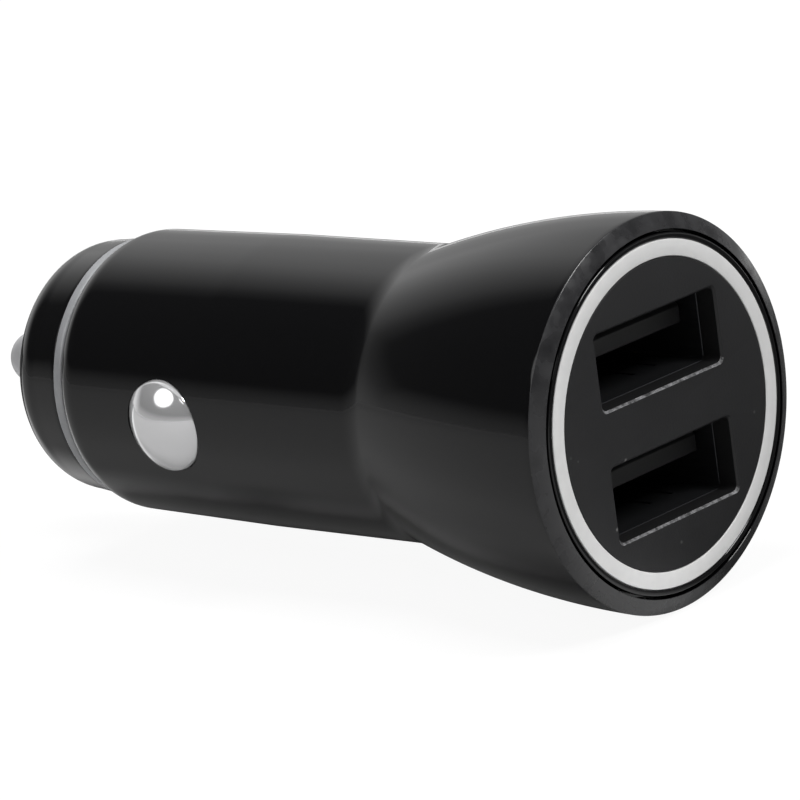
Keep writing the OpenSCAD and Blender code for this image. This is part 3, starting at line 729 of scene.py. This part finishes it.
new_pieces = [
    (shell, "shell", "charger", (gloss, band_painted_reflection), "gloss_black_plastic"),
    (nose, "nose_cap", "charger", (gloss,), "gloss_black_plastic"),
    (ring, "trim_ring", "charger", (grey_ring,), "grey_ring"),
    (lip, "bezel_ring", "charger", (gloss,), "gloss_black_plastic"),
    (glow, "light_ring", "charger", (milky,), "pale_diffuser"),
    (plate, "faceplate", "charger", (matt, bevel_painted_highlight, port_plastic_and_wall_shade), "matte_black_plastic"),
    (pin, "centre_contact", "centre_pin", (dull_nickel,), "nickel_plated_brass"),
    (left_dome, "side_contact_left", "left_ground", (chrome,), "bright_chrome"),
    (right_dome, "side_contact_right", "right_ground", (chrome,), "bright_chrome"),
    (coil, "centre_spring", "charger", (spring_steel,), "spring_steel"),
]
eased_finishes = {
    "upper_port_tongue": (port_plastic_and_wall_shade, "black_port_plastic"),
    "lower_port_tongue": (port_plastic_and_wall_shade, "black_port_plastic"),
    "upper_port_housing": (nickel_sheet_painted_shade, "nickel_plated_sheet"),
    "lower_port_housing": (nickel_sheet_painted_shade, "nickel_plated_sheet"),
    "power_inductor": (ferrite, "ferrite"),
    "controller_chip": (chip_resin, "chip_resin"),
    "rectifier_diode": (chip_resin, "chip_resin"),
    "chip_parts": (ceramic, "ceramic_parts"),
    "leaf_spring_left": (spring_steel, "spring_steel"),
    "leaf_spring_right": (spring_steel, "spring_steel"),
}
for node, (finish, slot) in eased_finishes.items():
    new_pieces.append((eased[node], node, "charger", (finish,), slot))
for piece, node, body, finishes, slot in new_pieces:
    wear(piece, *finishes)
    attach(piece, body)
    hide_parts(node)
print(len(new_pieces), "pieces stand for a solid")

# %% Solids that stay
kept = {
    "circuit_board": board,
    "input_capacitor": sleeve,
    "output_capacitor": sleeve,
    "indicator_leds": led,
    "upper_port_contacts": gold,
    "lower_port_contacts": gold,
    "positive_terminal": brass,
}
for node, finish in kept.items():
    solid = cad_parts[node]
    solid.data.materials.clear()
    solid.data.materials.append(finish)

# %% [markdown]
# Two pieces wear more than one finish. On the shell the slope round the mouth has its own, with
# its painted reflection. On the plate the lower bevel of each opening, which faces up, is painted
# pale as a highlight, and the openings' walls wear the tongues' darker finish as painted shade.

# %% Second finishes
for face in shell.data.polygons:
    radius = math.hypot(face.center.y, face.center.z) / MM
    if face.center.x / MM > RIM_X - 0.03 and radius > MOUTH_R + 0.01:
        face.material_index = 1
STEEP, FLAT, PORTS_R = 0.3, 0.95, 10.3
for face in plate.data.polygons:
    x, y, z = (c / MM for c in face.center)
    slope = abs(face.normal.x)
    within = math.hypot(y, z) < PORTS_R
    # Up-facing bevels: painted highlight.
    if within and x > FACE_X - 0.14 and STEEP < slope < FLAT and face.normal.z > 0.2:
        face.material_index = 1
    # The walls inside the openings: painted shade.
    elif within and x > SEAT_X + 0.1 and slope < STEEP:
        face.material_index = 2
print("faces of the cut band:", sum(f.material_index for f in shell.data.polygons))

# %% [markdown]
# ## The springs' own meshes
# The leaf springs and the coil each get a mesh of their own.

# %% Own meshes for the springs
for side, node, joint in ((-1, "leaf_spring_left", "left_ground_slide"),
                          (1, "leaf_spring_right", "right_ground_slide")):
    place = side_place(side)
    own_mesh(eased[node])
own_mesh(coil)

# %% [markdown]
# ## The camera
# The plug was photographed from about 35 cm with a long lens, from the front left and a little
# above. The camera's place and its three directions come from fitting the plug's own outline.

# %% The camera
camera_data = bpy.data.cameras.new("studio_camera")
camera = bpy.data.objects.new("studio_camera", camera_data)
bpy.context.scene.collection.objects.link(camera)
right = Vector((0.73866, 0.66012, -0.13646))
up = Vector((-0.06858, 0.27499, 0.959))
back_way = Vector((0.67058, -0.69902, 0.2484))
turned = Matrix((right, up, back_way)).transposed().to_4x4()
camera.matrix_world = Matrix.Translation(Vector((229.32, -243.43, 85.77)) * MM) @ turned
camera_data.sensor_width = 36
camera_data.lens = 225
camera_data.clip_start = 0.05
camera_data.clip_end = 20
bpy.context.scene.camera = camera
bpy.context.scene.view_settings.view_transform = "Standard"

# %% [markdown]
# ## The floor and the light
# The plug lies before a white sweep. The floor looks white to the camera with only a breath of
# real shadow, while to the plug it is a grey board with painted light and shade. The gloss mirrors
# that board along its lower half: even grey before the plug, painted paler under it, where it
# would otherwise mirror its own shadow, a painted shadow just behind it, and painted lighter again
# far off. The world is white to the camera, less than half as bright in mirrors, and a soft grey
# as light.

# %% The floor
FLOOR_Z, SCREEN_FOOT_Z = -13.6, -13
bm = bmesh.new()
bmesh.ops.create_grid(
    bm, x_segments=1, y_segments=1, size=3, matrix=Matrix.Translation((0, 0, FLOOR_Z * MM)))
floor = keep(bm, "studio_floor")
paper, tree, shader, place = finish_named("white_board_painted_shade", "#d0d0d0", 0.9)
ray = add(tree, "ShaderNodeLightPath")
away = add(tree, "ShaderNodeVectorMath", {"Vector": place}, operation="LENGTH")
# Painted light and shade on the board that the plug mirrors: lighter far off, a painted shadow
# just behind the plug, painted light under it.
painted_light_far_off = add(tree, "ShaderNodeMapRange", {"Value": away.outputs["Value"]}, From_Min=0.45,
              From_Max=1.4, To_Min=0.9, To_Max=2.6)
spot = add(tree, "ShaderNodeSeparateXYZ", {"Vector": place})
painted_shadow_behind = add(tree, "ShaderNodeMapRange", {"Value": spot.outputs["Y"]}, From_Min=-0.003,
             From_Max=0.007, To_Min=1, To_Max=0.1, interpolation_type="SMOOTHSTEP")
painted_light_under = add(tree, "ShaderNodeMapRange", {"Value": spot.outputs["Y"]}, From_Min=-0.0115,
            From_Max=-0.005, To_Min=0.37, To_Max=0.8, interpolation_type="SMOOTHSTEP")
painted_shadow_end = add(tree, "ShaderNodeMapRange", {"Value": spot.outputs["Y"]}, From_Min=0.09,
             From_Max=0.25, To_Min=0, To_Max=1)
painted_shadow = add(tree, "ShaderNodeMath", {0: painted_shadow_behind.outputs["Result"], 1: painted_shadow_end.outputs["Result"]},
             operation="MAXIMUM")
near = add(tree, "ShaderNodeMath", {0: painted_light_under.outputs["Result"], 1: painted_shadow.outputs[0]},
           operation="MULTIPLY")
grey = add(tree, "ShaderNodeMath", {0: near.outputs[0], 1: painted_light_far_off.outputs["Result"]},
           operation="MULTIPLY")
bounce = add(tree, "ShaderNodeBsdfDiffuse", {"Color": grey.outputs[0]})
soft = add(tree, "ShaderNodeBsdfDiffuse", Color=colour("#ffffff"))
white = add(tree, "ShaderNodeEmission", Strength=1.0)
seen = add(tree, "ShaderNodeMixShader")
seen.inputs["Fac"].default_value = 0.93
tree.links.new(soft.outputs["BSDF"], seen.inputs[1])
tree.links.new(white.outputs["Emission"], seen.inputs[2])
choice = add(tree, "ShaderNodeMixShader", {"Fac": ray.outputs["Is Camera Ray"]})
tree.links.new(bounce.outputs["BSDF"], choice.inputs[1])
tree.links.new(seen.outputs["Shader"], choice.inputs[2])
tree.links.new(choice.outputs["Shader"], tree.nodes["Material Output"].inputs["Surface"])
wear(floor, paper)

# %% The world
world = bpy.data.worlds.new("studio_world")
bpy.context.scene.world = world
world.use_nodes = True
tree = world.node_tree
tree.nodes.clear()
ray = add(tree, "ShaderNodeLightPath")
clear = add(tree, "ShaderNodeMath", {0: ray.outputs["Is Camera Ray"],
                                     1: ray.outputs["Is Transmission Ray"]},
            operation="MAXIMUM")
as_light = add(tree, "ShaderNodeBackground", Color=colour("#ffffff"), Strength=0.25)
as_white = add(tree, "ShaderNodeBackground", Color=colour("#ffffff"), Strength=1.0)
as_mirrored = add(tree, "ShaderNodeBackground", Color=colour("#ffffff"), Strength=0.45)
around_it = add(tree, "ShaderNodeMixShader", {"Fac": ray.outputs["Is Glossy Ray"],
                                              1: as_light.outputs[0], 2: as_mirrored.outputs[0]})
pick = add(tree, "ShaderNodeMixShader", {"Fac": clear.outputs[0], 1: around_it.outputs[0],
                                         2: as_white.outputs[0]})
add(tree, "ShaderNodeOutputWorld", {"Surface": pick.outputs[0]})

# %% [markdown]
# ## The dark side of the studio
# A gloss black plug shows its surroundings. On the camera's side the room is dark, and that is
# what draws the black band along the barrel and the dark drop on the trumpet. A curved screen
# round that side, seen only in mirrors, plays the room. It is dark in front and pale to the left,
# where it meets the white sweep. The soft edge between the two leans: at the floor it stands 24
# degrees nearer to the front than half a metre up. A faint glow at the foot hides the joint.

# %% The dark screen
SCREEN_R, SCREEN_TALL, SCREEN_FROM, SCREEN_TURN = 1.4, 2.2, -145, 320
bm = bmesh.new()
foot = bm.verts.new((0, -SCREEN_R, SCREEN_FOOT_Z * MM))
head = bmesh.ops.extrude_vert_indiv(bm, verts=[foot])
bmesh.ops.translate(bm, verts=head["verts"], vec=(0, 0, SCREEN_TALL))
bmesh.ops.rotate(bm, verts=bm.verts, cent=(0, 0, 0),
                 matrix=Matrix.Rotation(math.radians(SCREEN_FROM), 3, "Z"))
bmesh.ops.spin(
    bm, geom=bm.verts[:] + bm.edges[:], cent=(0, 0, 0), axis=(0, 0, 1), dvec=(0, 0, 0),
    angle=math.radians(SCREEN_TURN), steps=128, use_merge=False, use_duplicate=False)
screen = keep(bm, "dark_screen")
velvet, tree, shader, place = finish_named("black_velvet_screen", "#050505", 0.9)
spot = add(tree, "ShaderNodeSeparateXYZ", {"Vector": place})
forward = add(tree, "ShaderNodeMath", {0: spot.outputs["Y"]}, operation="MULTIPLY")
forward.inputs[1].default_value = -1
around = add(tree, "ShaderNodeMath", {0: spot.outputs["X"], 1: forward.outputs[0]},
             operation="ARCTAN2")
degrees = add(tree, "ShaderNodeMath", {0: around.outputs[0]}, operation="DEGREES")
lean = add(tree, "ShaderNodeMapRange", {"Value": spot.outputs["Z"]}, From_Min=0, From_Max=0.51,
           To_Min=-24, To_Max=0)
leaning = add(tree, "ShaderNodeMath", {0: degrees.outputs[0], 1: lean.outputs["Result"]})
share = add(tree, "ShaderNodeMapRange", {"Value": leaning.outputs[0]}, From_Min=SCREEN_FROM,
            From_Max=SCREEN_FROM + SCREEN_TURN)
fade = add(tree, "ShaderNodeValToRGB", {"Fac": share.outputs["Result"]})
stops = [
    (-145, 0.5), (-133, 0.62), (-124, 0.8), (-117, 0.84), (-110, 0.74), (-100, 0.52), (-94, 0.38),
    (-88, 0.2), (-81, 0.07), (-45, 0.07), (60, 0.1), (110, 0.15), (175, 0.2)]
ramp = fade.color_ramp
for azimuth, level in stops[2:]:
    ramp.elements.new((azimuth - SCREEN_FROM) / SCREEN_TURN)
for element, (azimuth, level) in zip(ramp.elements, stops):
    element.position = (azimuth - SCREEN_FROM) / SCREEN_TURN
    element.color = (level, level, level, 1)
foot_glow = add(tree, "ShaderNodeMapRange", {"Value": spot.outputs["Z"]}, From_Min=-0.02,
                From_Max=0.33, To_Min=0.36, To_Max=0.0, interpolation_type="SMOOTHSTEP")
level_here = add(
    tree, "ShaderNodeMath", {0: fade.outputs["Color"], 1: foot_glow.outputs["Result"]},
    operation="MAXIMUM")
glowing = add(tree, "ShaderNodeEmission", {"Strength": level_here.outputs[0]})
tree.links.new(glowing.outputs[0], tree.nodes["Material Output"].inputs["Surface"])
wear(screen, velvet)
screen.visible_camera = False
screen.visible_diffuse = False
screen.visible_transmission = False
screen.visible_shadow = False


# %% [markdown]
# ## The lamps
# A soft box above and one on the right give the plain level of light. The one above isn't
# mirrored, or it would draw a second pale band along the barrel. Two round lamps stand on the
# camera's side: they are the two bright dots on the chrome dome. The larger one is broader than
# tall, because the dome shows it narrowed.

# %% The lamps
def lamp(name, shape, size, watts, azimuth, elevation, distance, mirrored):
    data = bpy.data.lights.new(name, "AREA")
    data.shape = shape
    data.size, data.size_y = size
    data.energy = watts
    lamp_object = bpy.data.objects.new(name, data)
    bpy.context.scene.collection.objects.link(lamp_object)
    a, e = math.radians(azimuth), math.radians(elevation)
    way = Vector((math.sin(a) * math.cos(e), -math.cos(a) * math.cos(e), math.sin(e)))
    lamp_object.location = way * distance
    lamp_object.rotation_euler = way.to_track_quat("Z", "Y").to_euler()
    lamp_object.visible_glossy = mirrored
    return lamp_object


lamp("top_soft_box", "SQUARE", (0.5, 0.5), 11, 0, 82, 1.1, False)
lamp("right_soft_box", "SQUARE", (0.4, 0.4), 9, 105, 50, 1.1, True)
lamp("round_lamp_left", "ELLIPSE", (0.56, 0.4), 0.85, -20, 34, 0.8, True)
lamp("round_lamp_right", "ELLIPSE", (0.2, 0.2), 0.16, 27, 37, 0.8, True)
